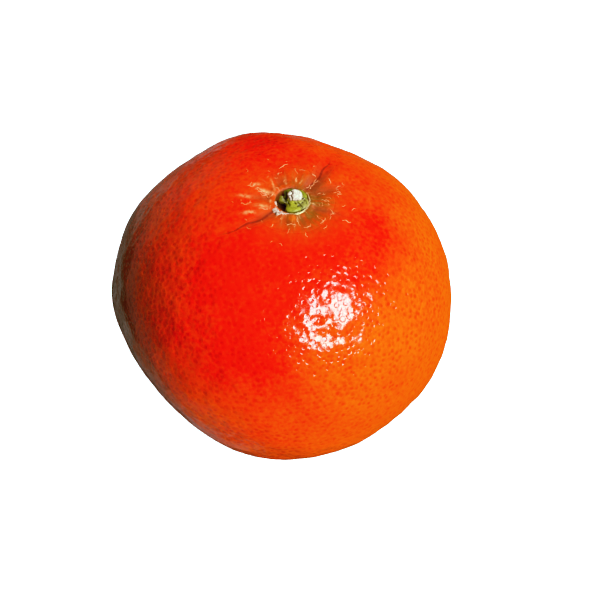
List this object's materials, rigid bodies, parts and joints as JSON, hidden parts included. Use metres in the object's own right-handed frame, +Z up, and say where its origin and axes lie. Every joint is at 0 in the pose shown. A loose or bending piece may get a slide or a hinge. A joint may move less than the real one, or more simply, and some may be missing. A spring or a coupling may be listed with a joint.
{
  "type": "valencia orange",
  "caption": "Whole red-orange citrus fruit with a pitted peel, a puckered stem end, a green button and a broken stalk end, resting on a small flat spot.",
  "frame": {"origin": "on the resting plane, under the middle of the bounding box", "axes": "+Z up along the fruit's stem axis, -Y towards the viewer of the picture, +X to that viewer's right"},
  "size_m": [0.0702, 0.0692, 0.0629],
  "materials": {
    "peel": "waxy pitted citrus rind, satin to glossy, red-orange with an orange cheek",
    "button": "dull yellow-green plant tissue with brown creases",
    "stalk_end": "dry pale fibrous broken stalk, matt"
  },
  "bodies": {
    "root": {"fruit": "peel", "calyx": "button", "stem_stub": "stalk_end"}
  },
  "joints": []
}
